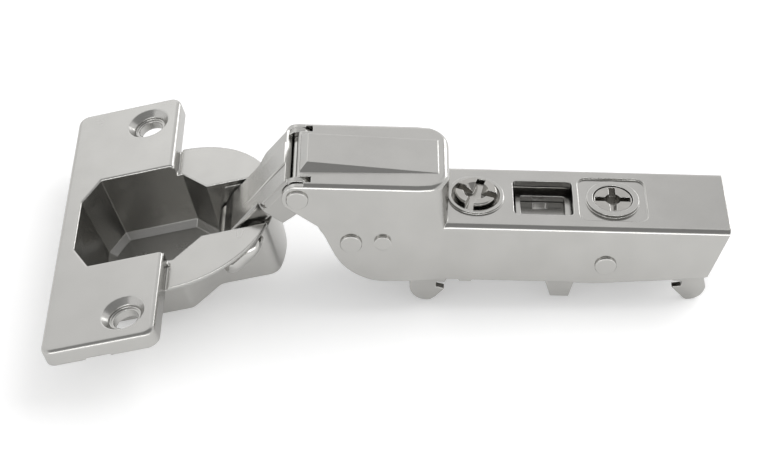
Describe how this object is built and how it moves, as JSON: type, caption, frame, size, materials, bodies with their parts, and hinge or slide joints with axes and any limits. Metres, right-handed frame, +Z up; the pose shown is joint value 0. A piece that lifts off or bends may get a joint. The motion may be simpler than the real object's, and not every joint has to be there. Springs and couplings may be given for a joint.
{
  "type": "concealed cup hinge",
  "caption": "Clip-on concealed cabinet hinge with a drilled cup, two links, a cranked arm with side and depth adjusting screws, and a spring-loaded rear clip.",
  "frame": {"origin": "centre of the drilled 35 mm cup circle, on the upper face of the cup's ears", "axes": "+X along the arm to its rear end, +Y along the link pins, away from the cup axle's bend, +Z up, square to the arm's rear top face, with the hinge fully open"},
  "size_m": [0.1108, 0.06, 0.0312],
  "materials": {
    "plated_steel": "satin nickel plating on pressed steel",
    "plated_cup": "satin nickel plating on the cup",
    "bright_pin": "bright nickel plating",
    "screw_steel": "zinc plated",
    "spring_wire": "oiled spring wire"
  },
  "bodies": {
    "adapter": {"adapter_plate": "plated_steel", "lever_pin": "bright_pin", "lever_spring": "spring_wire"},
    "slide": {"slide_plate": "plated_steel", "rear_rivet": "bright_pin"},
    "arm": {"hinge_arm": "plated_steel", "front_link_pin": "bright_pin", "rear_link_pin": "bright_pin", "near_spring_pin": "screw_steel", "far_spring_pin": "screw_steel", "closing_spring": "spring_wire"},
    "outer_link": {"outer_link": "plated_steel"},
    "cup": {"hinge_cup": "plated_cup", "cup_axle": "bright_pin"},
    "inner_link": {"inner_link": "plated_steel"},
    "depth_cam": {"depth_cam_screw": "screw_steel"},
    "side_screw": {"side_adjust_screw": "screw_steel"},
    "clip_lever": {"clip_lever": "plated_steel"}
  },
  "joints": [
    {"name": "depth_slide", "type": "slide", "parent": "adapter", "child": "slide", "axis": [1, 0, 0], "range_m": [-0.0013, 0.0013]},
    {"name": "arm_tilt", "type": "hinge", "parent": "slide", "child": "arm", "pos_m": [0.0717, 0, -0.00152], "axis": [0, 1, 0], "range_deg": [-2.1, 2.1]},
    {"name": "outer_link_turn", "type": "hinge", "parent": "arm", "child": "outer_link", "pos_m": [0.02066, 0, 0.01155], "axis": [0, 1, 0], "range_deg": [-14, 0], "deforming": ["closing_spring"]},
    {"name": "cup_turn", "type": "hinge", "parent": "outer_link", "child": "cup", "pos_m": [0.0096, 0, -0.00381], "axis": [0, 1, 0], "range_deg": [0, 120.68]},
    {"name": "inner_link_turn", "type": "hinge", "parent": "cup", "child": "inner_link", "pos_m": [0.01383, 0, 0.00159], "axis": [0, 1, 0], "range_deg": [-154.68, 0]},
    {"name": "depth_cam_turn", "type": "hinge", "parent": "arm", "child": "depth_cam", "pos_m": [0.0727, 0, 0.005], "axis": [0, 0, 1], "range_deg": [-60, 60]},
    {"name": "side_screw_turn", "type": "hinge", "parent": "arm", "child": "side_screw", "pos_m": [0.04995, 0, 0.005], "axis": [0, 0, 1], "range_deg": [-360, 360]},
    {"name": "lever_turn", "type": "hinge", "parent": "adapter", "child": "clip_lever", "pos_m": [0.0805, 0, -0.0006], "axis": [0, -1, 0], "range_deg": [0, 15], "stiffness_Nm_per_rad": 0.03, "springref_deg": -20.05, "deforming": ["lever_spring"]}
  ],
  "couplings": [
    {"joint": "outer_link_turn", "follows": "cup_turn", "ratio": -0.11601},
    {"joint": "inner_link_turn", "follows": "cup_turn", "ratio": -1.2817},
    {"joint": "depth_cam_turn", "follows": "depth_slide", "rad_per_m": 806.1},
    {"joint": "side_screw_turn", "follows": "arm_tilt", "ratio": 170.8}
  ]
}
